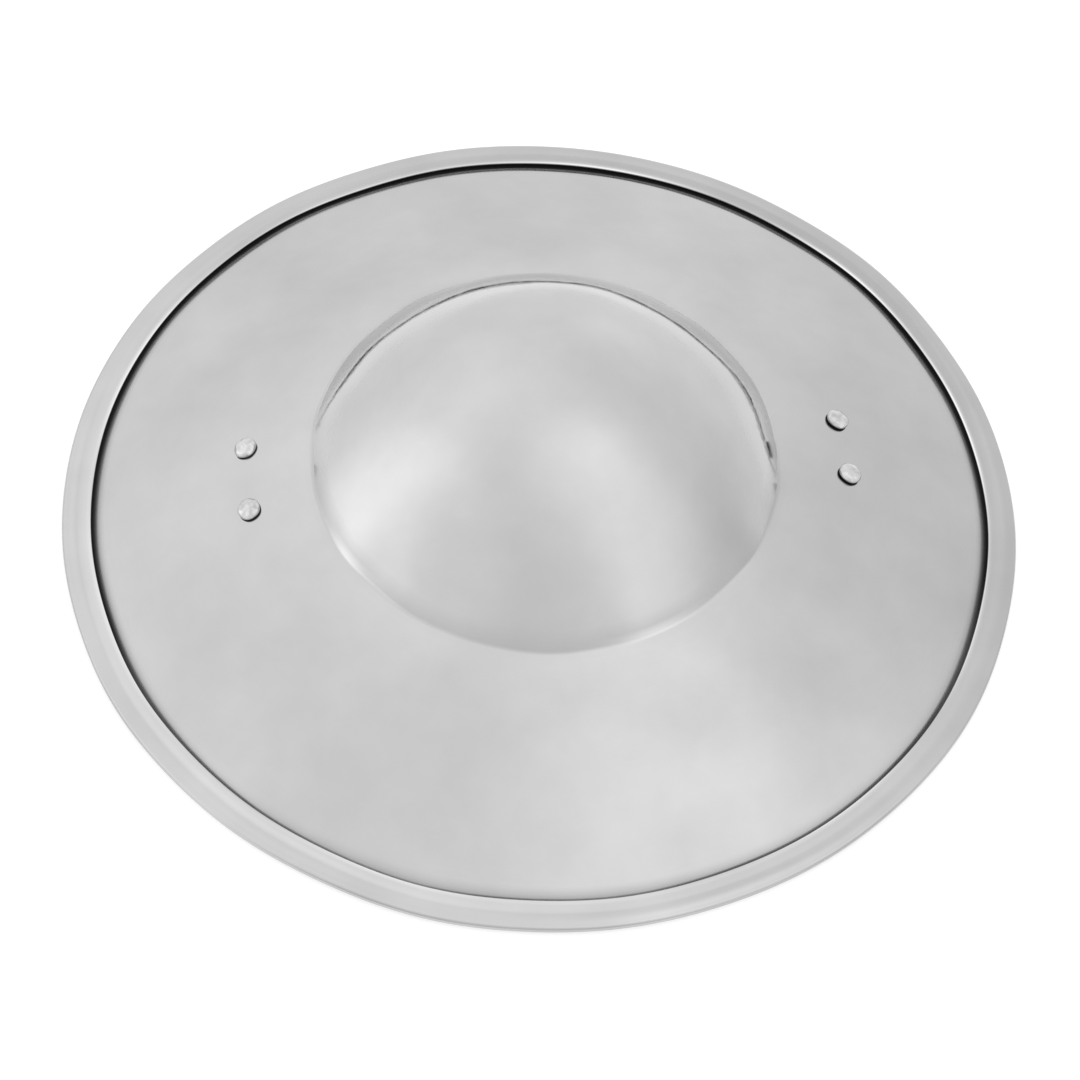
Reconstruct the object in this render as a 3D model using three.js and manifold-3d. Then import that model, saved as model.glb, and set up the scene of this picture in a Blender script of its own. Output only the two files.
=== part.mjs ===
// Buckler shield, lying on its rim with the boss upward.
// One dished steel plate (boss, field and hemmed rim in one sheet), a forged steel
// grip across the hollow, and four domed rivets. Millimetres, +Z up, the grip along X.
import * as THREE from "three";
import { mergeVertices } from "three/addons/utils/BufferGeometryUtils.js";
import Module from "manifold-3d";

const wasm = await Module();
wasm.setup();

const RAD = Math.PI / 180;
const WELD = 1e-4;
const FIT_GAP = 0.3;           // left between pieces that touch

// plate
const plateR = 170;            // over the folded rim
const sheet = 1.2;             // sheet thickness
const plateSegments = 80;

// hem: the edge of the sheet folded over onto the front
const foldInnerR = 0.3;        // inside radius of the fold
const hemWidth = 10.3;         // from the outermost edge in to the lip
const lipTop = 3.7;            // top of the lip above the ground
const lipRound = 0.4;          // rounding of the lip's two corners
const foldSteps = 4;

// field
const fieldEndR = 160;         // where the field's curve ends, under the lip
const fieldRimSlope = 22.5;    // degrees, at the hem
const fieldBossSlope = 16;     // degrees, at the foot of the boss
const levelBendR = 7.8;        // bend that levels the sheet under the hem

// boss
const bossR = 81;              // foot of the boss on the front
const creaseR = 2.2;           // hollow radius pressed into the foot
const bossFootSlope = 55;      // degrees
const bossShoulderSlope = 40;  // degrees, where the flank meets the rounder crown
const bossFlankArc = 130;      // radius of the flank's curve

// rivets, square to the field, a pair at each end of the grip
const rivetX = 105.2;          // from the axis, along X
const rivetY = 12.5;           // half the spacing of a pair
const shankR = 2;
const headR = 4;
const headH = 2.2;
const tailR = 3.2;
const tailH = 1.2;
const rivetSegments = 14;
const pinSegments = 12;
const pinDepth = 12;           // length of the pin that cuts a rivet hole

// grip
const endT = 2.6;              // thickness of the flat ends
const endHalfW = 19;
const endCorner = 9;           // rounding of the ends' corners
const gripHalfL = 119;         // half the length, along X
const handleHalfW = 13;
const handleT = 9;
const handleHalfL = 48;        // where the handle starts to thin
const bendX = 91;              // middle of the bend between handle and end
const bendHalfL = 9;
const taperL = 30;             // length over which width and thickness change
const widenX = 62;             // where the ends start to widen
const endPower = 5;            // squareness of the section at the ends
const handlePower = 2.4;       // squareness of the section at the handle
const gripRing = 12;

// Points along a curve of radius arcR as its fall outward goes from slope a to slope b
// (degrees), going outward from start.
function slopeArc(start, a, b, arcR, steps) {
  const turn = Math.sign(b - a) * arcR;
  const points = [];
  for (let i = 1; i <= steps; i += 1) {
    const slope = (a + ((b - a) * i) / steps) * RAD;
    points.push({
      r: start.r + turn * (Math.sin(slope) - Math.sin(a * RAD)),
      z: start.z + turn * (Math.cos(slope) - Math.cos(a * RAD)),
      slope,
    });
  }
  return points;
}

// The plate's front from the axis out to the level ring: boss crown, boss flank, crease
// at the foot, field, and the bend that levels the sheet. The ring lies on the ground.
function frontProfile() {
  const sin = (degrees) => Math.sin(degrees * RAD);
  const shoulderR = bossR - bossFlankArc * (sin(bossFootSlope) - sin(bossShoulderSlope));
  const crownArc = shoulderR / sin(bossShoulderSlope);
  const apex = { r: 0, z: 0, slope: 0 };
  const crown = slopeArc(apex, 0, bossShoulderSlope, crownArc, 6);
  const flank = slopeArc(crown.at(-1), bossShoulderSlope, bossFootSlope, bossFlankArc, 3);
  const crease = slopeArc(flank.at(-1), bossFootSlope, fieldBossSlope, creaseR, 2);
  const fieldStartR = crease.at(-1).r;
  const fieldArc = (fieldEndR - fieldStartR) / (sin(fieldRimSlope) - sin(fieldBossSlope));
  const field = slopeArc(crease.at(-1), fieldBossSlope, fieldRimSlope, fieldArc, 4);
  const level = slopeArc(field.at(-1), fieldRimSlope, 0, levelBendR, 2);
  const line = [apex, ...crown, ...flank, ...crease, ...field, ...level];
  const lift = sheet - line.at(-1).z;
  return line.map((p) => ({ r: p.r, z: p.z + lift, slope: p.slope }));
}

const front = frontProfile();

// Height and slope of the plate's front at radius r.
function frontAt(r) {
  const i = front.findIndex((p) => p.r > r);
  const inner = front[i - 1];
  const outer = front[i];
  const t = (r - inner.r) / (outer.r - inner.r);
  return {
    z: inner.z + (outer.z - inner.z) * t,
    slope: inner.slope + (outer.slope - inner.slope) * t,
  };
}

// Closed [r, z] outline of the plate's section: the back outward, round the fold, in
// over the hem to its lip, back under the hem, and the front inward.
function plateOutline() {
  const foldR = sheet + foldInnerR;
  const foldX = plateR - foldR;
  const lipX = plateR - hemWidth;
  const rise = Math.atan2(lipTop - 2 * foldR, foldX - lipX);
  const outline = front.map((p) => [
    Math.max(0, p.r - sheet * Math.sin(p.slope)),
    p.z - sheet * Math.cos(p.slope),
  ]);
  const inside = [];
  for (let i = 0; i <= foldSteps; i += 1) {
    const a = -Math.PI / 2 + ((Math.PI - rise) * i) / foldSteps;
    outline.push([foldX + foldR * Math.cos(a), foldR + foldR * Math.sin(a)]);
    if (i % 2 === 0) {
      inside.push([foldX + foldInnerR * Math.cos(a), foldR + foldInnerR * Math.sin(a)]);
    }
  }
  outline.push([lipX + lipRound, lipTop]);
  outline.push([lipX, lipTop - lipRound]);
  outline.push([lipX, lipTop - sheet + lipRound]);
  outline.push([lipX + lipRound, lipTop - sheet]);
  outline.push(...inside.reverse());
  outline.push(...front.map((p) => [p.r, p.z]).reverse());
  return outline;
}

// Closed, welded triangles of a geometry as a solid.
function toSolid(geometry) {
  const bare = geometry.clone();
  bare.deleteAttribute("normal");
  bare.deleteAttribute("uv");
  const welded = mergeVertices(bare, WELD);
  const index = welded.index.array;
  const triangles = [];
  for (let i = 0; i < index.length; i += 3) {
    const [a, b, c] = [index[i], index[i + 1], index[i + 2]];
    if (a !== b && b !== c && a !== c) {
      triangles.push(a, b, c);
    }
  }
  const vertProperties = new Float32Array(welded.attributes.position.array);
  const triVerts = new Uint32Array(triangles);
  return new wasm.Manifold(new wasm.Mesh({ numProp: 3, vertProperties, triVerts }));
}

function toGeometry(solid) {
  const mesh = solid.getMesh();
  const geometry = new THREE.BufferGeometry();
  const position = new THREE.BufferAttribute(new Float32Array(mesh.vertProperties), 3);
  geometry.setAttribute("position", position);
  geometry.setIndex(new THREE.BufferAttribute(new Uint32Array(mesh.triVerts), 1));
  geometry.computeVertexNormals();
  return geometry;
}

// Turned solid of a closed [r, z] outline, its axis along +Z.
function turned(outline, segments) {
  const points = outline.map(([r, z]) => new THREE.Vector2(r, z));
  return new THREE.LatheGeometry(points, segments).rotateX(Math.PI / 2);
}

// Place of each rivet: on the front of the field, square to it.
const rivetSeat = frontAt(Math.hypot(rivetX, rivetY));
const rivetPlaces = {};
for (const [endName, side] of [["left", -1], ["right", 1]]) {
  for (const [rowName, row] of [["front", -1], ["back", 1]]) {
    const place = new THREE.Matrix4().makeRotationY(side * rivetSeat.slope);
    place.setPosition(side * rivetX, row * rivetY, rivetSeat.z);
    rivetPlaces[`rivet_${endName}_${rowName}`] = place;
  }
}

function cutRivetHoles(solid) {
  let result = solid;
  for (const place of Object.values(rivetPlaces)) {
    const holeR = shankR + FIT_GAP;
    const pin = new THREE.CylinderGeometry(holeR, holeR, pinDepth, pinSegments);
    pin.rotateX(Math.PI / 2).applyMatrix4(place);
    result = result.subtract(toSolid(pin));
  }
  return result;
}

// One rivet: domed head on the front, shank, and a flattened tail behind the grip.
function rivetGeometry() {
  const domeR = (headR * headR + headH * headH) / (2 * headH);
  const domeA = Math.asin(headR / domeR);
  const domeSteps = 4;
  const tailTop = -(sheet + endT + 3 * FIT_GAP);
  const outline = [
    [0, tailTop - tailH],
    [tailR * 0.75, tailTop - tailH],
    [tailR, tailTop - tailH * 0.4],
    [tailR, tailTop],
    [shankR, tailTop],
    [shankR, FIT_GAP],
  ];
  for (let i = domeSteps; i >= 0; i -= 1) {
    const a = (domeA * i) / domeSteps;
    outline.push([domeR * Math.sin(a), FIT_GAP + headH - domeR * (1 - Math.cos(a))]);
  }
  return turned(outline, rivetSegments);
}

function smooth(t) {
  const u = Math.min(1, Math.max(0, t));
  return u * u * (3 - 2 * u);
}

// The grip's middle line at x: height, and fall outward in radians. Level across the
// hollow, then bent down to run behind the field.
function gripLine(x) {
  const ax = Math.abs(x);
  const fall = Math.tan(rivetSeat.slope);
  const setback = (sheet + FIT_GAP + endT / 2) / Math.cos(rivetSeat.slope);
  const levelZ = rivetSeat.z - setback + (rivetX - bendX) * fall;
  const bend = Math.min(1, Math.max(0, (ax - bendX + bendHalfL) / (2 * bendHalfL)));
  const run = bendHalfL * bend * bend + Math.max(0, ax - bendX - bendHalfL);
  return { z: levelZ - run * fall, slope: Math.atan(fall * bend) * Math.sign(x) };
}

// Half-width, thickness and squareness of the grip's section at x.
function gripSection(x) {
  const ax = Math.abs(x);
  const handle = 1 - smooth((ax - handleHalfL) / taperL);
  const wide = smooth((ax - widenX) / taperL);
  const over = Math.max(0, ax - (gripHalfL - endCorner));
  const cornerCut = endCorner - Math.sqrt(endCorner * endCorner - over * over);
  return {
    halfW: handleHalfW + (endHalfW - handleHalfW) * wide - cornerCut,
    thick: endT + (handleT - endT) * handle,
    power: endPower + (handlePower - endPower) * handle,
  };
}

// Where the grip is cut across, from the middle to one end, closer at bends and corners.
function gripStations() {
  const spans = [
    [0, handleHalfL, 2],
    [handleHalfL, bendX + bendHalfL, 6],
    [bendX + bendHalfL, gripHalfL - endCorner, 1],
  ];
  const half = [0];
  for (const [from, to, steps] of spans) {
    for (let i = 1; i <= steps; i += 1) {
      half.push(from + ((to - from) * i) / steps);
    }
  }
  for (let i = 1; i <= 4; i += 1) {
    half.push(gripHalfL - endCorner * (1 - Math.sin((i * Math.PI) / 8)));
  }
  return [...half.slice(1).reverse().map((x) => -x), ...half];
}

// One bar lofted along X through rounded sections; the handle swells downward only.
function gripGeometry() {
  const stations = gripStations();
  const positions = [];
  for (const x of stations) {
    const line = gripLine(x);
    const section = gripSection(x);
    const drop = (section.thick - endT) / 2;
    for (let k = 0; k < gripRing; k += 1) {
      const a = (2 * Math.PI * (k + 0.5)) / gripRing;
      const c = Math.cos(a);
      const s = Math.sin(a);
      const size = Math.abs(c) ** section.power + Math.abs(s) ** section.power;
      const reach = size ** (-1 / section.power);
      const up = (reach * s * section.thick) / 2 - drop;
      positions.push(x + up * Math.sin(line.slope));
      positions.push(reach * c * section.halfW);
      positions.push(line.z + up * Math.cos(line.slope));
    }
  }
  const index = [];
  for (let i = 0; i < stations.length - 1; i += 1) {
    for (let k = 0; k < gripRing; k += 1) {
      const a = i * gripRing + k;
      const b = i * gripRing + ((k + 1) % gripRing);
      index.push(a, b, b + gripRing, a, b + gripRing, a + gripRing);
    }
  }
  const last = (stations.length - 1) * gripRing;
  for (let k = 1; k < gripRing - 1; k += 1) {
    index.push(0, k + 1, k);
    index.push(last, last + k, last + k + 1);
  }
  const geometry = new THREE.BufferGeometry();
  const position = new THREE.BufferAttribute(new Float32Array(positions), 3);
  geometry.setAttribute("position", position);
  geometry.setIndex(index);
  return geometry;
}

function piece(name, solid, color, roughness) {
  const material = new THREE.MeshStandardMaterial({ color, roughness, metalness: 1 });
  const mesh = new THREE.Mesh(toGeometry(solid), material);
  mesh.name = name;
  return mesh;
}

const shield = new THREE.Group();
shield.name = "buckler_shield";

const plate = cutRivetHoles(toSolid(turned(plateOutline(), plateSegments)));
shield.add(piece("shield_plate", plate, 0xc8cacc, 0.25));

const grip = cutRivetHoles(toSolid(gripGeometry()));
shield.add(piece("grip", grip, 0x8f9092, 0.45));

for (const [name, place] of Object.entries(rivetPlaces)) {
  const rivet = toSolid(rivetGeometry().applyMatrix4(place));
  shield.add(piece(name, rivet, 0xd6d6d6, 0.2));
}

export default shield;
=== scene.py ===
import math
import bpy
import numpy as np
from mathutils import Matrix, Vector


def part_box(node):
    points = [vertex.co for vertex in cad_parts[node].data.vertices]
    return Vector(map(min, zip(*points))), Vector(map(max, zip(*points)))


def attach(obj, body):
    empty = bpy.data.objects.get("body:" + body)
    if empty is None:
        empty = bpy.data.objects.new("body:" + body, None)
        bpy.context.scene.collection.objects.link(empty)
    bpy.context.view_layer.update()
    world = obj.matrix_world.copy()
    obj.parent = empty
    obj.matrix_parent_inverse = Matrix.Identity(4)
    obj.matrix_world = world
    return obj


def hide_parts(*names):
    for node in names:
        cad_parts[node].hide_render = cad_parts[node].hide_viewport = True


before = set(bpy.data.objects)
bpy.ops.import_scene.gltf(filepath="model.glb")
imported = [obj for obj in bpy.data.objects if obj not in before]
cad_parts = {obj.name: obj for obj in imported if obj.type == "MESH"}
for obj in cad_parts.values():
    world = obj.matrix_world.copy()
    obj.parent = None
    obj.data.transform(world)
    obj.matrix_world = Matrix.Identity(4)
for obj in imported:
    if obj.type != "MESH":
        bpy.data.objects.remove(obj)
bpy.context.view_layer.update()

scene = bpy.context.scene

# ---------------------------------------------------------------- camera
# A standing viewer's look down at the shield lying on a table, boss upward.
cam_azimuth = math.radians(-9.6)
cam_elevation = math.radians(54.8)
cam_distance = 0.935
cam_roll = math.radians(4.803)
cam_lens_mm = 86.88
cam_target = Vector((-0.0023, -0.0161, 0.0))   # point on the table under the picture's centre

back = Vector((
    math.sin(cam_azimuth) * math.cos(cam_elevation),
    -math.cos(cam_azimuth) * math.cos(cam_elevation),
    math.sin(cam_elevation),
))
cam_place = back * cam_distance
look = (cam_target - cam_place).to_track_quat("-Z", "Y")
cam_data = bpy.data.cameras.new("camera")
cam_data.lens = cam_lens_mm
cam_data.sensor_width = 36.0
cam_data.clip_end = 20.0
camera = bpy.data.objects.new("camera", cam_data)
cam_turn = look.to_matrix().to_4x4() @ Matrix.Rotation(cam_roll, 4, "Z")
camera.matrix_world = Matrix.Translation(cam_place) @ cam_turn
scene.collection.objects.link(camera)
scene.camera = camera

# ---------------------------------------------------------------- floor and light
# A plain pale table top, clear from below and fading out so that its edge isn't mirrored in
# the metal. White studio light comes evenly from all round, with wide soft panels: each adds
# gain * exp(width * (cosine to its middle - 1)).
scene.view_settings.view_transform = "Standard"
scene.view_settings.look = "None"

floor_half = 0.6
floor_fade_start = 0.20
floor_fade_end = 0.34
floor_grey = (0.45, 0.45, 0.45, 1)
floor_glow = 0.62
floor_mesh = bpy.data.meshes.new("floor")
floor_signs = [(-1, -1), (1, -1), (1, 1), (-1, 1)]
floor_corners = [(floor_half * sign_x, floor_half * sign_y, 0) for sign_x, sign_y in floor_signs]
floor_mesh.from_pydata(floor_corners, [], [(0, 1, 2, 3)])
floor = bpy.data.objects.new("floor", floor_mesh)
scene.collection.objects.link(floor)
floor_mat = bpy.data.materials.new("floor_white")
floor_mat.use_nodes = True
floor_shader = floor_mat.node_tree.nodes["Principled BSDF"]
floor_shader.inputs["Base Color"].default_value = floor_grey
floor_shader.inputs["Roughness"].default_value = 0.9
floor_shader.inputs["Specular IOR Level"].default_value = 0.1
floor_shader.inputs["Emission Color"].default_value = (1, 1, 1, 1)
floor_shader.inputs["Emission Strength"].default_value = floor_glow
floor_links = floor_mat.node_tree.links
floor_side = floor_mat.node_tree.nodes.new("ShaderNodeNewGeometry")
floor_clear = floor_mat.node_tree.nodes.new("ShaderNodeBsdfTransparent")
floor_mix = floor_mat.node_tree.nodes.new("ShaderNodeMixShader")
floor_out = floor_mat.node_tree.nodes["Material Output"]
floor_place = floor_mat.node_tree.nodes.new("ShaderNodeTexCoord")
floor_far = floor_mat.node_tree.nodes.new("ShaderNodeVectorMath")
floor_far.operation = "LENGTH"
floor_fade = floor_mat.node_tree.nodes.new("ShaderNodeMapRange")
floor_fade.interpolation_type = "SMOOTHSTEP"
floor_fade.inputs["From Min"].default_value = floor_fade_start
floor_fade.inputs["From Max"].default_value = floor_fade_end
floor_hide = floor_mat.node_tree.nodes.new("ShaderNodeMath")
floor_hide.operation = "MAXIMUM"
floor_links.new(floor_place.outputs["Object"], floor_far.inputs[0])
floor_links.new(floor_far.outputs["Value"], floor_fade.inputs["Value"])
floor_links.new(floor_fade.outputs["Result"], floor_hide.inputs[0])
floor_links.new(floor_side.outputs["Backfacing"], floor_hide.inputs[1])
floor_links.new(floor_hide.outputs[0], floor_mix.inputs[0])
floor_links.new(floor_shader.outputs[0], floor_mix.inputs[1])
floor_links.new(floor_clear.outputs[0], floor_mix.inputs[2])
floor_links.new(floor_mix.outputs[0], floor_out.inputs["Surface"])
floor_mesh.materials.append(floor_mat)

even_light = 1.06
panels = [   # elevation and azimuth in degrees (azimuth from straight ahead, to the right), width, gain
    (8, -92, 16, 0.42),
    (66, 118, 14, 0.26),
    (14, 15, 12, 0.13),
    (46, -38, 8, 0.13),
    (42, 42, 8, -0.06),
    (86, 0, 10, 0.06),
    (35, -102, 20, 0.22),
    (36, 112, 10, 0.14),
    (16, 133, 45, 0.12),
    (0, 88, 18, -0.26),
    (20, 178, 7, -0.10),
]
ahead = Vector((-back.x, -back.y, 0)).normalized()
rightward = Vector((ahead.y, -ahead.x, 0))
world = bpy.data.worlds.new("studio")
scene.world = world
world.use_nodes = True
sky_nodes = world.node_tree.nodes
sky_links = world.node_tree.links
sky = sky_nodes["Background"]
sky.inputs["Strength"].default_value = 1.0
sky_dir = sky_nodes.new("ShaderNodeTexCoord")
total = None
for panel_el, panel_az, panel_width, panel_gain in panels:
    el = math.radians(panel_el)
    az = math.radians(panel_az)
    level_way = rightward * math.sin(az) + ahead * math.cos(az)
    toward = level_way * math.cos(el) + Vector((0, 0, math.sin(el)))
    cosine = sky_nodes.new("ShaderNodeVectorMath")
    cosine.operation = "DOT_PRODUCT"
    cosine.inputs[1].default_value = toward
    sky_links.new(sky_dir.outputs["Generated"], cosine.inputs[0])
    fall = sky_nodes.new("ShaderNodeMath")
    fall.operation = "MULTIPLY_ADD"
    fall.inputs[1].default_value = panel_width
    fall.inputs[2].default_value = -panel_width
    sky_links.new(cosine.outputs["Value"], fall.inputs[0])
    lobe = sky_nodes.new("ShaderNodeMath")
    lobe.operation = "EXPONENT"
    sky_links.new(fall.outputs[0], lobe.inputs[0])
    add = sky_nodes.new("ShaderNodeMath")
    add.operation = "MULTIPLY_ADD"
    add.inputs[1].default_value = panel_gain
    add.inputs[2].default_value = even_light
    sky_links.new(lobe.outputs[0], add.inputs[0])
    if total is not None:
        sky_links.new(total.outputs[0], add.inputs[2])
    total = add
sky_links.new(total.outputs[0], sky.inputs["Color"])

# ---------------------------------------------------------------- shield plate
# One sheet of steel: the boss pressed up in the middle, the field falling to the rim, and
# the edge folded over onto the front as a flat hem. The front is beaten smooth and polished,
# with painted shade in the crease, under the hem and along the fold, and painted highlights
# on the lip, the hem's inner strip and two stretches of the crease; the back is left duller.
plate_low, plate_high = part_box("shield_plate")
plate_r = (plate_high[0] - plate_low[0]) / 2
sheet = 0.0012
plate_turns = 400

boss_r = 0.081
boss_crown_slope = 37.5
boss_foot_slope = 53.5
boss_flank_arc = 0.167
crease_r = 0.0030
field_end_r = 0.155
field_boss_slope = 16.0
field_rim_slope = 22.5
dip_slope = 36.0
dip_arc = 0.018
level_bend_r = 0.005
rest_width = 0.0025
fold_inner_r = 0.0003
fold_lift = 0.0005
hem_width = 0.0103
hem_crown = 0.0003
lip_top = 0.0040

# Painted shade under the hem: darkest at the lip's edge, fading out into the field by these radii.
gap_shade_r = (0.1548, 0.1560, 0.1570, 0.1576, 0.1581, 0.1586, 0.1592)
gap_shade_share = (0.0, 0.10, 0.30, 0.48, 0.78, 0.92, 1.0)
# Painted shade in the crease at the boss's foot.
crease_shade_r = (0.0765, 0.0800, 0.0812, 0.0828)
crease_shade_share = (0.0, 0.16, 0.22, 0.0)
# Painted highlight on two stretches of the crease.
glint_r = (0.0800, 0.0808, 0.0816, 0.0824)
glint_turns = ((208, 7), (291, 10))   # where painted highlights lie on the crease: degrees round, spread
glint_strength = 0.6
strip_turn_deg = 235                  # where the hem's inner strip gets its brightest painted highlight, with painted shade opposite
strip_highlight = 0.20
strip_shade = 0.09
# Painted highlight along the lip's rounded inner edge.
lip_highlight = (0.2, 0.6, 1.0, 1.0, 0.9, 0.6, 0.3)
# Painted shade: a thin dark line on the fold's upper curve and another on its underside.
hem_fold_dark_line = (0.35, 0.2)
fold_underside_shade = (0.3, 0.5, 0.6, 0.5, 0.2)
near_shade_cut = 0.75                     # share of the rim gap's painted shade taken off the near side, where the lip hides the gap
dent_count = 30
dent_depth = 0.000064
dent_lengths = (0.030, 0.075)
edge_wave = 0.00030
foot_wave = 0.00030
foot_spread = 0.010
lip_wave = 0.00024
ridge_wave = 0.00042
rim_wave_from = 0.125
rim_wave_run = 0.035
dents_end_from = 0.146
dents_end_run = 0.012
inner_strip_from = 0.50               # along the hem, from the fold to the lip
inner_strip_run = 0.06
near_side_from = 0.25                     # along the near side, minus the sine of the way round
near_side_run = 0.5


def slope_arc(start, a, b, arc_r, steps):
    """Points on a circle of radius arc_r while the outward fall goes from a to b degrees.

    r = r0 + k (sin s - sin a), z = z0 + k (cos s - cos a), k = arc_r times the sign of b - a.
    Returns an array of [r, z, s].
    """
    s = np.radians(np.linspace(a, b, steps + 1)[1:])
    s0 = math.radians(a)
    k = math.copysign(arc_r, b - a)
    r = start[0] + k * (np.sin(s) - math.sin(s0))
    z = start[1] + k * (np.cos(s) - math.cos(s0))
    return np.column_stack([r, z, s])


def sind(degrees):
    return math.sin(math.radians(degrees))


def smooth(t):
    """0 below t = 0, 1 above t = 1, and 3 t^2 - 2 t^3 between."""
    u = np.clip(t, 0, 1)
    return u * u * (3 - 2 * u)


def ring_wave(rng, a, low, high):
    """Sum of cosines of low to high whole waves round the ring, with random phases, at most about 1."""
    waves = np.arange(low, high + 1)
    phase = rng.uniform(0, 2 * math.pi, len(waves))
    return np.cos(a[:, None] * waves + phase).sum(axis=1) / math.sqrt(2 * len(waves))


shoulder_r = boss_r - boss_flank_arc * (sind(boss_foot_slope) - sind(boss_crown_slope))
crown = slope_arc((0, 0), 0, boss_crown_slope, shoulder_r / sind(boss_crown_slope), 36)
flank = slope_arc(crown[-1], boss_crown_slope, boss_foot_slope, boss_flank_arc, 20)
crease = slope_arc(flank[-1], boss_foot_slope, field_boss_slope, crease_r, 10)
field_arc = (field_end_r - crease[-1][0]) / (sind(field_rim_slope) - sind(field_boss_slope))
field = slope_arc(crease[-1], field_boss_slope, field_rim_slope, field_arc, 30)
dip = slope_arc(field[-1], field_rim_slope, dip_slope, dip_arc, 14)
level = slope_arc(dip[-1], dip_slope, 0, level_bend_r, 8)
front = np.vstack([[0, 0, 0], crown, flank, crease, field, dip, level])
front[:, 1] += sheet - front[-1, 1]
front = np.vstack([front, front[-1] + [rest_width, 0, 0]])
behind = np.vstack([front[:-1:2], front[-1]])
back_side = np.column_stack([
    np.maximum(0, behind[:, 0] - sheet * np.sin(behind[:, 2])),
    behind[:, 1] - sheet * np.cos(behind[:, 2]),
])

fold_r = sheet + fold_inner_r
fold_x = plate_r - fold_r
fold_z = fold_r + fold_lift
lip_x = plate_r - hem_width
rise = math.atan2(lip_top - fold_z - fold_r, fold_x - lip_x)
turn = np.linspace(-math.pi / 2, math.pi / 2 - rise, 15)
fold_out = np.column_stack([fold_x + fold_r * np.cos(turn), fold_z + fold_r * np.sin(turn)])
fold_in = np.column_stack([
    fold_x + fold_inner_r * np.cos(turn[::2]),
    fold_z + fold_inner_r * np.sin(turn[::2]),
])
hem_t = np.linspace(0, 1, 14)[1:-1]
hem_end = np.array([lip_x + sheet / 2, lip_top])
hem_top = fold_out[-1] + (hem_end - fold_out[-1]) * hem_t[:, None]
hem_top[:, 1] += hem_crown * np.sin(math.pi * hem_t)
lip_turn = np.linspace(math.pi / 2, 3 * math.pi / 2, 13)
lip = np.column_stack([
    lip_x + sheet / 2 + sheet / 2 * np.cos(lip_turn),
    lip_top - sheet / 2 + sheet / 2 * np.sin(lip_turn),
])
outline = np.vstack([back_side, fold_out, hem_top, lip, fold_in[::-1], front[::-1, :2]])

back_end = len(back_side)
hem_start = back_end + len(fold_out)
lip_start = hem_start + len(hem_top)
lip_end = lip_start + len(lip)
front_start = lip_end + len(fold_in)
on_back = np.zeros(len(outline))
on_back[:back_end] = 1
# Painted shade under the lip, in the fold and in the rim gap, running out onto the field.
painted_shade = np.zeros(len(outline))
painted_shade[lip_start + 8:lip_end] = np.linspace(0.2, 1.0, len(lip) - 8)
painted_shade[lip_end:front_start] = 1
painted_shade[front_start:] = np.interp(outline[front_start:, 0], gap_shade_r, gap_shade_share)
# Painted shade band in the crease.
crease_shade_band = np.zeros(len(outline))
crease_shade_band[front_start:] = np.interp(outline[front_start:, 0], crease_shade_r, crease_shade_share)
glint_share = np.zeros(len(outline))
glint_share[front_start:] = np.interp(outline[front_start:, 0], glint_r, [0, 1, 1, 0])
# Painted highlight on the lip's edge.
painted_highlight = np.zeros(len(outline))
painted_highlight[lip_start - 1:lip_start - 1 + len(lip_highlight)] = lip_highlight
hem_share = np.zeros(len(outline))
hem_share[hem_start:lip_end] = smooth((fold_x - outline[hem_start:lip_end, 0]) / (fold_x - lip_x))
ridge_share = np.zeros(len(outline))
ridge_share[hem_start:lip_start] = np.sin(2 * math.pi * hem_t)
# The hem's inner strip: painted highlight on one side of the ring, painted shade on the other.
inner_strip = np.zeros(len(outline))
inner_strip[hem_start:lip_start] = smooth((hem_t - inner_strip_from) / inner_strip_run)
# Painted shade lines along the fold.
fold_dark_lines = np.zeros(len(outline))
fold_dark_lines[hem_start - 5:hem_start - 3] = hem_fold_dark_line
fold_dark_lines[back_end + 1:back_end + 6] = fold_underside_shade
on_front = np.zeros(len(outline), bool)
on_front[front_start:] = True


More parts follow.
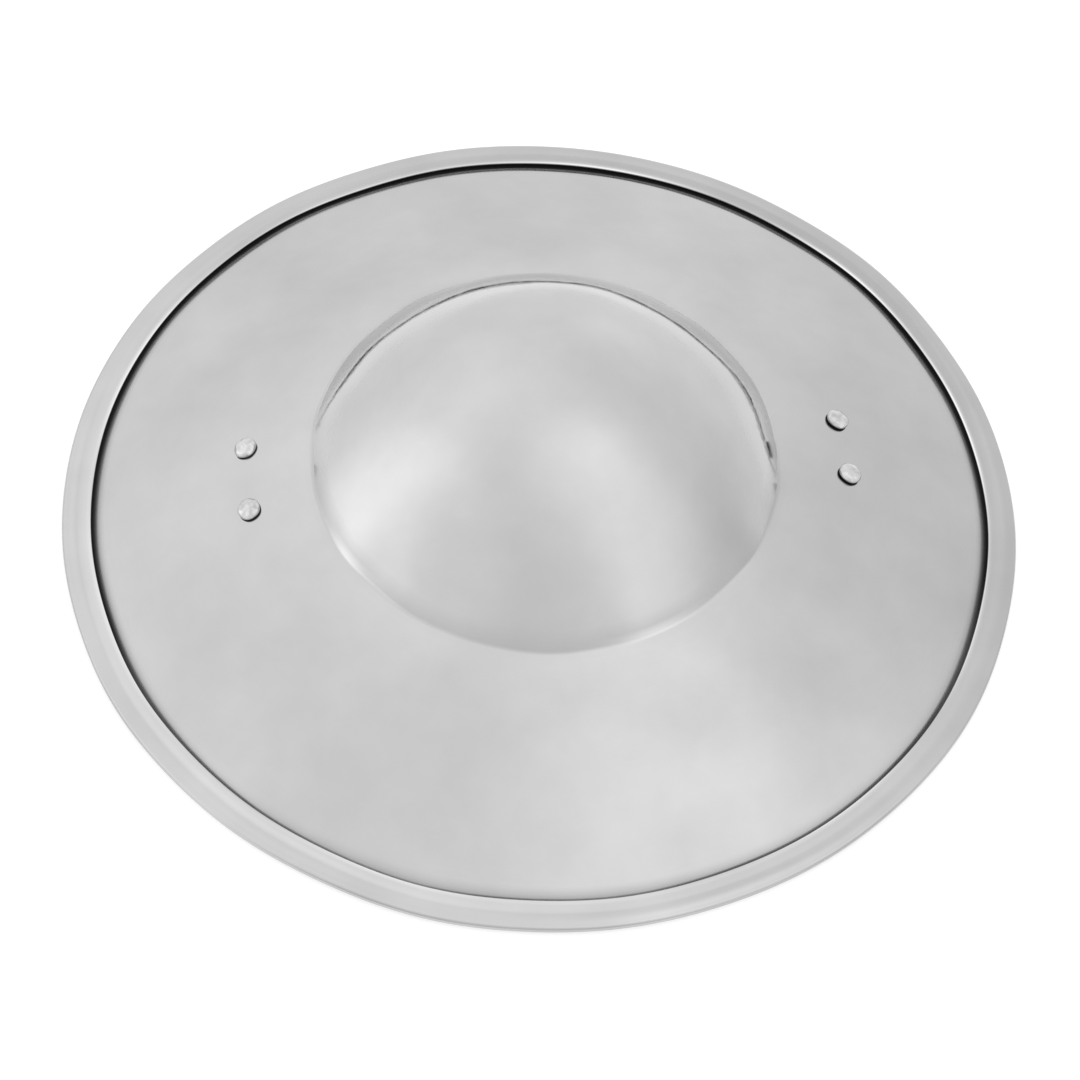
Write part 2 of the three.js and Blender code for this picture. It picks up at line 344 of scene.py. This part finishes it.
def plate_surface(name, turns):
    """Surface of revolution of the outline with a smith's unevenness.

    x = R cos a, y = R sin a, R = r + e(a) q + f(a) p, z = z0 + d(x, y) c + w(a) h + v(a) g:
    e, f, w and v are waves round the ring, for the rim (q), the boss's foot (p), the lip (h)
    and the hem's ridge (g). d is a sum of plane waves, which dies away towards the rim (c).
    """
    rng = np.random.default_rng(11)
    a = np.arange(turns) * 2 * math.pi / turns
    ring = outline[1:-1]
    n = len(ring)
    rim = smooth((ring[:, 0] - rim_wave_from) / rim_wave_run)
    foot = np.exp(-((ring[:, 0] - boss_r) / foot_spread) ** 2)
    r = ring[None, :, 0] + edge_wave * ring_wave(rng, a, 4, 17)[:, None] * rim
    r = r + foot_wave * ring_wave(rng, a, 5, 19)[:, None] * foot
    x = r * np.cos(a)[:, None]
    y = r * np.sin(a)[:, None]
    length = rng.uniform(*dent_lengths, dent_count)
    heading = rng.uniform(0, 2 * math.pi, dent_count)
    phase = rng.uniform(0, 2 * math.pi, dent_count)
    wave_x = 2 * math.pi / length * np.cos(heading)
    wave_y = 2 * math.pi / length * np.sin(heading)
    dent = np.zeros_like(x)
    for k_x, k_y, shift, span in zip(wave_x, wave_y, phase, length):
        depth = dent_depth * span / dent_lengths[1]
        dent += depth * np.cos(k_x * x + k_y * y + shift)
    calm = 1 - smooth((ring[:, 0] - dents_end_from) / dents_end_run)
    z = ring[None, :, 1] + dent * calm
    z = z + lip_wave * ring_wave(rng, a, 3, 14)[:, None] * hem_share[1:-1]
    z = z + ridge_wave * ring_wave(rng, a, 1, 4)[:, None] * ridge_share[1:-1]
    grid = np.stack([x, y, z], axis=-1)
    low_z = outline[0, 1] + dent[:, 0].mean()
    high_z = outline[-1, 1] + dent[:, -1].mean()
    verts = np.vstack([grid.reshape(-1, 3), [[0, 0, low_z], [0, 0, high_z]]])
    i = np.arange(turns)[:, None] * n
    j = (np.arange(turns)[:, None] + 1) % turns * n
    k = np.arange(n - 1)[None, :]
    quads = np.stack([i + k, j + k, j + k + 1, i + k + 1], axis=-1).reshape(-1, 4)
    low = turns * n
    fan_low = np.column_stack([np.full(turns, low), j[:, 0], i[:, 0]])
    fan_high = np.column_stack([np.full(turns, low + 1), i[:, 0] + n - 1, j[:, 0] + n - 1])
    mesh = bpy.data.meshes.new(name)
    mesh.from_pydata(verts, [], quads.tolist() + fan_low.tolist() + fan_high.tolist())
    mesh.polygons.foreach_set("use_smooth", np.ones(len(mesh.polygons), bool))
    patchy = np.clip(0.5 + 0.6 * ring_wave(rng, a, 2, 12), 0, 1)[:, None]
    # Painted shade: the rim gap's shade is thinned on the near side; the fold lines and the crease shade
    # are added.
    near_side_weight = smooth((-np.sin(a) - near_side_from) / near_side_run)[:, None] * on_front[None, 1:-1]
    crease_shade = crease_shade_band[None, 1:-1] * (0.6 + 0.4 * ring_wave(rng, a, 2, 9)[:, None])
    shade_layer = painted_shade[None, 1:-1] * (1 - near_shade_cut * near_side_weight) + fold_dark_lines[None, 1:-1] * patchy + crease_shade
    degrees = np.degrees(a)
    glint = sum(np.exp(-((degrees - middle) / spread) ** 2) for middle, spread in glint_turns)
    strip_turn = 0.5 + 0.5 * np.cos(a - math.radians(strip_turn_deg))
    # Painted highlight: on the lip, on two stretches of the crease and on one side of the hem's inner
    # strip.
    highlight_layer = painted_highlight[None, 1:-1] * patchy + glint_share[None, 1:-1] * glint_strength * glint[:, None]
    highlight_layer = highlight_layer + inner_strip[None, 1:-1] * strip_highlight * strip_turn[:, None]
    shade_layer = shade_layer + inner_strip[None, 1:-1] * strip_shade * (1 - strip_turn[:, None])
    for layer_name, values in (("painted_shade", shade_layer), ("painted_highlight", highlight_layer), ("on_back", on_back[None, 1:-1])):
        layer = mesh.attributes.new(layer_name, "FLOAT", "POINT")
        spread = np.broadcast_to(values, (turns, n)).reshape(-1)
        layer.data.foreach_set("value", np.append(spread, [spread[0], spread[n - 1]]).astype(np.float32))
    mesh.update()
    return mesh


plate_mesh = plate_surface("plate", plate_turns)
plate = bpy.data.objects.new("plate", plate_mesh)
scene.collection.objects.link(plate)


class Shader:
    """A steel material, with short ways to add nodes to it."""

    def __init__(self, name):
        self.mat = bpy.data.materials.new(name)
        self.mat.use_nodes = True
        self.nodes = self.mat.node_tree.nodes
        self.links = self.mat.node_tree.links
        self.main = self.nodes["Principled BSDF"]
        self.main.inputs["Metallic"].default_value = 1.0
        self.place = self.nodes.new("ShaderNodeTexCoord").outputs["Object"]

    def put(self, value, socket):
        """A number, a colour or another node's output into a socket."""
        if isinstance(value, bpy.types.NodeSocket):
            self.links.new(value, socket)
        else:
            socket.default_value = value

    def math(self, operation, *values):
        node = self.nodes.new("ShaderNodeMath")
        node.operation = operation
        for value, socket in zip(values, node.inputs):
            self.put(value, socket)
        return node.outputs[0]

    def noise(self, scale, detail, roughness, at=None):
        node = self.nodes.new("ShaderNodeTexNoise")
        self.links.new(at or self.place, node.inputs["Vector"])
        for key, value in (("Scale", scale), ("Detail", detail), ("Roughness", roughness)):
            node.inputs[key].default_value = value
        return node.outputs["Fac"]

    def span(self, value, low, high, to_low, to_high):
        """value's range low..high moved to to_low..to_high."""
        node = self.nodes.new("ShaderNodeMapRange")
        for part, socket in zip((value, low, high, to_low, to_high), node.inputs):
            self.put(part, socket)
        return node.outputs[0]

    def attribute(self, name):
        node = self.nodes.new("ShaderNodeAttribute")
        node.attribute_name = name
        return node.outputs["Fac"]

    def blend(self, share, first, second):
        node = self.nodes.new("ShaderNodeMix")
        node.data_type = "RGBA"
        for value, key in ((share, "Factor"), (first, "A"), (second, "B")):
            socket = [s for s in node.inputs if s.name == key and s.enabled][0]
            self.put(value, socket)
        return [s for s in node.outputs if s.enabled][0]

    def bump(self, height, distance, strength=1.0, below=None):
        node = self.nodes.new("ShaderNodeBump")
        node.inputs["Strength"].default_value = strength
        node.inputs["Distance"].default_value = distance
        self.links.new(height, node.inputs["Height"])
        if below is not None:
            self.links.new(below, node.inputs["Normal"])
        return node.outputs["Normal"]


strokes_per_m = 1400.0
strokes_round = 9.0
lean_x = -0.36           # painted light: the front is made brighter to the left and on the near side
lean_y = -0.25
boss_grey = 0.535
field_grey = 0.498
dull_back = ((0.30, 0.30, 0.305, 1), (0.42, 0.42, 0.42, 1))
highlight_colour = (0.86, 0.86, 0.86, 1)
shade_colour = (0.03, 0.03, 0.03, 1)
steel = Shader("plate_steel")
clouds = steel.noise(22.0, 3.0, 0.5)
patches = steel.noise(75.0, 3.0, 0.55)
grain = steel.noise(900.0, 2.0, 0.6)
split = steel.nodes.new("ShaderNodeSeparateXYZ")
steel.links.new(steel.place, split.inputs[0])
along_x, along_y, along_z = split.outputs
x_squared = steel.math("MULTIPLY", along_x, along_x)
y_squared = steel.math("MULTIPLY", along_y, along_y)
radius = steel.math("SQRT", steel.math("ADD", x_squared, y_squared))
angle = steel.math("ARCTAN2", along_y, along_x)
polar = steel.nodes.new("ShaderNodeCombineXYZ")
steel.put(steel.math("MULTIPLY", radius, strokes_per_m), polar.inputs[0])
steel.put(steel.math("MULTIPLY", angle, strokes_round), polar.inputs[1])
steel.put(steel.math("MULTIPLY", along_z, strokes_per_m), polar.inputs[2])
strokes = steel.noise(1.0, 2.0, 0.6, at=polar.outputs[0])
cloud_tone = steel.span(clouds, 0.3, 0.7, 0.945, 1.055)
patch_tone = steel.span(patches, 0.3, 0.7, 0.985, 1.015)
stroke_tone = steel.span(strokes, 0.25, 0.75, 0.995, 1.005)
# Painted light gradient across the front.
lean_across = steel.math("MULTIPLY", along_x, lean_x)
lean_away = steel.math("MULTIPLY", along_y, lean_y)
painted_light_lean = steel.math("ADD", steel.math("ADD", lean_across, lean_away), 1.0)
light_tone = steel.math("MULTIPLY", cloud_tone, patch_tone)
light_tone = steel.math("MULTIPLY", light_tone, stroke_tone)
light_tone = steel.math("MULTIPLY", light_tone, painted_light_lean)
ring_grey = steel.span(radius, 0.078, 0.105, boss_grey, field_grey)
front_grey = steel.math("MULTIPLY", light_tone, ring_grey)
front_colour = steel.nodes.new("ShaderNodeCombineColor")
for channel in front_colour.inputs[:3]:
    steel.put(front_grey, channel)
back_tone = steel.span(patches, 0.3, 0.7, 0.0, 1.0)
back_colour = steel.blend(back_tone, *dull_back)
colour = steel.blend(steel.attribute("on_back"), front_colour.outputs[0], back_colour)
# Painted highlight, blended towards a bright grey.
colour = steel.blend(steel.attribute("painted_highlight"), colour, highlight_colour)
# Painted shade: the layer blends the steel towards a dark, rougher, non-metal colour.
colour = steel.blend(steel.attribute("painted_shade"), colour, shade_colour)
steel.put(colour, steel.main.inputs["Base Color"])
patch_rough = steel.span(patches, 0.3, 0.7, 0.035, 0.075)
stroke_rough = steel.span(strokes, 0.3, 0.7, 0.0, 0.02)
back_rough = steel.math("MULTIPLY", steel.attribute("on_back"), 0.2)
shade_rough = steel.math("MULTIPLY", steel.attribute("painted_shade"), 0.35)
rough = steel.math("ADD", patch_rough, stroke_rough)
rough = steel.math("ADD", rough, back_rough)
rough = steel.math("ADD", rough, shade_rough)
steel.put(rough, steel.main.inputs["Roughness"])
steel.put(steel.span(steel.attribute("painted_shade"), 0.0, 1.0, 1.0, 0.0), steel.main.inputs["Metallic"])
steel.main.inputs["Specular IOR Level"].default_value = 0.0
soft_bump = steel.bump(patches, 0.0006, 0.12)
fine_bump = steel.bump(strokes, 0.00008, 0.035, soft_bump)
steel.put(steel.bump(grain, 0.00003, 0.15, fine_bump), steel.main.inputs["Normal"])
plate_mesh.materials.append(steel.mat)
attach(plate, "root")
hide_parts("shield_plate")

# ---------------------------------------------------------------- grip
# A forged steel bar across the hollow: thick and rounded in the middle for the hand, bent
# down and beaten flat and wide at both ends, where it lies behind the field.
grip_low, grip_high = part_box("grip")
grip_half_l = (grip_high[0] - grip_low[0]) / 2
grip_end_half_w = (grip_high[1] - grip_low[1]) / 2
grip_end_t = 0.0026
grip_end_corner = 0.009
handle_half_w = 0.013
handle_t = 0.009
handle_half_l = 0.048
bend_x = 0.091
bend_half_l = 0.009
grip_taper = 0.030
widen_x = 0.062
end_power = 5.0
handle_power = 2.4
seat_gap = 0.0003
rivet_low, rivet_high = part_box("rivet_right_back")
rivet_x = 0.1052
rivet_y = (rivet_low[1] + rivet_high[1]) / 2
grip_rings = 64
grip_stations = 301
hammer_depth = 0.00016
hammer_waves = 14


def front_at(r):
    """Height and slope of the plate's front at radius r, from its profile points."""
    return np.interp(r, front[:, 0], front[:, 1]), np.interp(r, front[:, 0], front[:, 2])


seat_z, seat_slope = front_at(math.hypot(rivet_x, rivet_y))


def grip_line(x):
    """Middle line: level across the hollow, then falling with the field behind the plate."""
    ax = np.abs(x)
    fall = math.tan(seat_slope)
    setback = (sheet + seat_gap + grip_end_t / 2) / math.cos(seat_slope)
    level_z = seat_z - setback + (rivet_x - bend_x) * fall
    bend = np.clip((ax - bend_x + bend_half_l) / (2 * bend_half_l), 0, 1)
    run = bend_half_l * bend * bend + np.maximum(0, ax - bend_x - bend_half_l)
    return level_z - run * fall, np.arctan(fall * bend) * np.sign(x)


def grip_surface(name, rings, stations):
    """Superellipse sections lofted along x, |y / w|^p + |h / t|^p = 1, with hammer marks.

    w, t and p change smoothly with x; the marks are plane waves in x and the way round.
    """
    rng = np.random.default_rng(5)
    u = np.linspace(-1, 1, stations)
    x = grip_half_l * (0.65 * u + 0.35 * np.sin(u * math.pi / 2))
    ax = np.abs(x)
    handle = 1 - smooth((ax - handle_half_l) / grip_taper)
    wide = smooth((ax - widen_x) / grip_taper)
    over = np.maximum(0, ax - (grip_half_l - grip_end_corner))
    corner = grip_end_corner - np.sqrt(np.maximum(0, grip_end_corner ** 2 - over ** 2))
    half_w = handle_half_w + (grip_end_half_w - handle_half_w) * wide - corner
    thick = grip_end_t + (handle_t - grip_end_t) * handle
    power = (end_power + (handle_power - end_power) * handle)[:, None]
    line_z, line_slope = grip_line(x)
    a = (np.arange(rings) + 0.5) * 2 * math.pi / rings
    c = np.cos(a)[None, :]
    s = np.sin(a)[None, :]
    reach = (np.abs(c) ** power + np.abs(s) ** power) ** (-1 / power)
    marks = np.zeros((stations, rings))
    for wave in range(hammer_waves):
        along = rng.uniform(200, 620)
        around = rng.integers(1, 6)
        marks += np.cos(along * x[:, None] + around * a[None, :] + rng.uniform(0, 6.3))
    marks *= hammer_depth / hammer_waves ** 0.5 * handle[:, None]
    up = reach * s * (thick[:, None] / 2 + marks) - ((thick - grip_end_t) / 2)[:, None]
    verts = np.stack([
        x[:, None] + up * np.sin(line_slope)[:, None],
        reach * c * (half_w[:, None] + marks),
        line_z[:, None] + up * np.cos(line_slope)[:, None],
    ], axis=-1).reshape(-1, 3)
    i = np.arange(stations - 1)[:, None] * rings
    k = np.arange(rings)[None, :]
    k2 = (k + 1) % rings
    quads = np.stack([i + k, i + k2, i + rings + k2, i + rings + k], axis=-1).reshape(-1, 4)
    caps = [list(range(rings - 1, -1, -1)), list(range((stations - 1) * rings, stations * rings))]
    mesh = bpy.data.meshes.new(name)
    mesh.from_pydata(verts, [], quads.tolist() + caps)
    mesh.polygons.foreach_set("use_smooth", np.ones(len(mesh.polygons), bool))
    mesh.update()
    return mesh


grip_mesh = grip_surface("grip_bar", grip_rings, grip_stations)
grip = bpy.data.objects.new("grip_bar", grip_mesh)
scene.collection.objects.link(grip)
scale_dark = (0.20, 0.20, 0.205, 1)
scale_light = (0.40, 0.40, 0.40, 1)
forged = Shader("grip_steel")
scale_spots = forged.noise(160.0, 4.0, 0.6)
blows = forged.noise(90.0, 1.0, 0.4)
pits = forged.noise(700.0, 3.0, 0.6)
spot_share = forged.span(scale_spots, 0.35, 0.65, 0.0, 1.0)
forged_colour = forged.blend(spot_share, scale_dark, scale_light)
forged.put(forged_colour, forged.main.inputs["Base Color"])
forged.put(forged.span(scale_spots, 0.3, 0.7, 0.52, 0.32), forged.main.inputs["Roughness"])
blow_bump = forged.bump(blows, 0.0008, 0.35)
forged.put(forged.bump(pits, 0.0001, 0.4, blow_bump), forged.main.inputs["Normal"])
grip_mesh.materials.append(forged.mat)
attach(grip, "root")
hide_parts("grip")

# ---------------------------------------------------------------- rivets
# Four steel rivets, two at each end of the grip, each set by eye a little off its marked
# spot: a domed head on the field with painted shade on its undercut edge, the shank through
# plate and grip, and a tail hammered flat beneath.
head_r = 0.0041
head_h = 0.0028
head_edge_z = 0.0009
head_foot_r = 0.0038
head_gap = 0.00005
peen_depth = 0.00006
shank_r = 0.002
tail_r = 0.0033
tail_h = 0.0012
rivet_turns = 72
rivet_shifts = {
    "rivet_left_back": (0.0011, 0.0013),
    "rivet_left_front": (0.0014, 0.0),
    "rivet_right_back": (0.0014, 0.0010),
    "rivet_right_front": (0.0020, 0.0022),
}
dome_a = np.linspace(0, math.pi / 2, 17)
tail_top = -(sheet + grip_end_t + 3 * seat_gap)
tail_line = [
    [0, tail_top - tail_h],
    [tail_r * 0.6, tail_top - tail_h],
    [tail_r * 0.85, tail_top - tail_h * 0.85],
    [tail_r, tail_top - tail_h * 0.45],
    [tail_r * 0.97, tail_top],
]
shank_line = [[shank_r, tail_top], [shank_r, head_gap]]
head_edge = [
    [head_foot_r, head_gap],
    [head_r * 0.97, head_edge_z * 0.45],
    [head_r, head_edge_z * 0.8],
]
dome = np.column_stack([
    head_r * np.cos(dome_a) ** 0.92,
    head_edge_z + (head_h - head_edge_z) * np.sin(dome_a),
])
rivet_line = np.vstack([tail_line, shank_line, head_edge, dome])
rivet_line[-1, 0] = 0
# Painted shade under the head's edge and around the shank.
rivet_undercut_shade = np.zeros(len(rivet_line))
rivet_undercut_shade[4:10] = [0.6, 1, 1, 1, 1, 0.85]
rivet_undercut_shade[10] = 0.1


def rivet_surface(name, turns, seed, place):
    """Surface of revolution of the rivet's line, a little out of round, with soft peened flats.

    R = r (1 + 0.02 cos(2 a + p) + 0.012 cos(5 a + q)); z gains plane waves of x and y on the dome.
    """
    rng = np.random.default_rng(seed)
    a = np.arange(turns) * 2 * math.pi / turns
    ring = rivet_line[1:-1]
    n = len(ring)
    oval = 0.02 * np.cos(2 * a + rng.uniform(0, 6.3))
    knocks = 0.012 * np.cos(5 * a + rng.uniform(0, 6.3))
    r = ring[None, :, 0] * (1 + oval + knocks)[:, None]
    x = r * np.cos(a)[:, None]
    y = r * np.sin(a)[:, None]
    top = smooth((ring[:, 1] - head_edge_z) / (head_h - head_edge_z) * 1.6)
    peen = np.zeros_like(x)
    for wave in range(5):
        heading = rng.uniform(0, 6.3)
        across = x * math.cos(heading) + y * math.sin(heading)
        peen += peen_depth * np.cos(rng.uniform(1100, 2400) * across + rng.uniform(0, 6.3))
    z = ring[None, :, 1] + peen * top
    grid = np.stack([x, y, z], axis=-1)
    poles = [[0, 0, rivet_line[0, 1]], [0, 0, z[:, -1].mean()]]
    verts = np.vstack([grid.reshape(-1, 3), poles])
    i = np.arange(turns)[:, None] * n
    j = (np.arange(turns)[:, None] + 1) % turns * n
    k = np.arange(n - 1)[None, :]
    quads = np.stack([i + k, j + k, j + k + 1, i + k + 1], axis=-1).reshape(-1, 4)
    fan_low = np.column_stack([np.full(turns, turns * n), j[:, 0], i[:, 0]])
    fan_high = np.column_stack([np.full(turns, turns * n + 1), i[:, 0] + n - 1, j[:, 0] + n - 1])
    mesh = bpy.data.meshes.new(name)
    mesh.from_pydata(verts, [], quads.tolist() + fan_low.tolist() + fan_high.tolist())
    mesh.polygons.foreach_set("use_smooth", np.ones(len(mesh.polygons), bool))
    layer = mesh.attributes.new("painted_shade", "FLOAT", "POINT")
    layer.data.foreach_set("value", np.append(np.tile(rivet_undercut_shade[1:-1], turns), [0, 0]).astype(np.float32))
    mesh.transform(place)
    mesh.update()
    return mesh


peened_dark = (0.50, 0.50, 0.50, 1)
peened_light = (0.66, 0.66, 0.66, 1)
# Colour of the painted shade in the undercut.
undercut_shade_colour = (0.02, 0.02, 0.02, 1)
bright = Shader("rivet_steel")
peened = bright.noise(420.0, 3.0, 0.55)
specks = bright.noise(2600.0, 2.0, 0.5)
peen_share = bright.span(peened, 0.35, 0.65, 0.0, 1.0)
rivet_colour = bright.blend(peen_share, peened_dark, peened_light)
rivet_colour = bright.blend(bright.attribute("painted_shade"), rivet_colour, undercut_shade_colour)
bright.put(rivet_colour, bright.main.inputs["Base Color"])
bright.put(bright.span(peened, 0.3, 0.7, 0.07, 0.16), bright.main.inputs["Roughness"])
peen_bump = bright.bump(peened, 0.0002, 0.3)
bright.put(bright.bump(specks, 0.00004, 0.3, peen_bump), bright.main.inputs["Normal"])

for seed, (node, (shift_x, shift_y)) in enumerate(rivet_shifts.items()):
    low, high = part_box(node)
    side = math.copysign(1, low[0])
    spot_x = side * rivet_x + shift_x
    spot_y = (low[1] + high[1]) / 2 + shift_y
    spot_z, spot_slope = front_at(math.hypot(spot_x, spot_y))
    outward = math.atan2(spot_y, spot_x)
    tilt = Matrix.Rotation(outward, 4, "Z") @ Matrix.Rotation(spot_slope, 4, "Y")
    seat = Matrix.Translation((spot_x, spot_y, spot_z)) @ tilt
    data = rivet_surface(node + "_peened", rivet_turns, seed, seat)
    data.materials.append(bright.mat)
    rivet = bpy.data.objects.new(node + "_peened", data)
    scene.collection.objects.link(rivet)
    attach(rivet, "root")
    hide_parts(node)
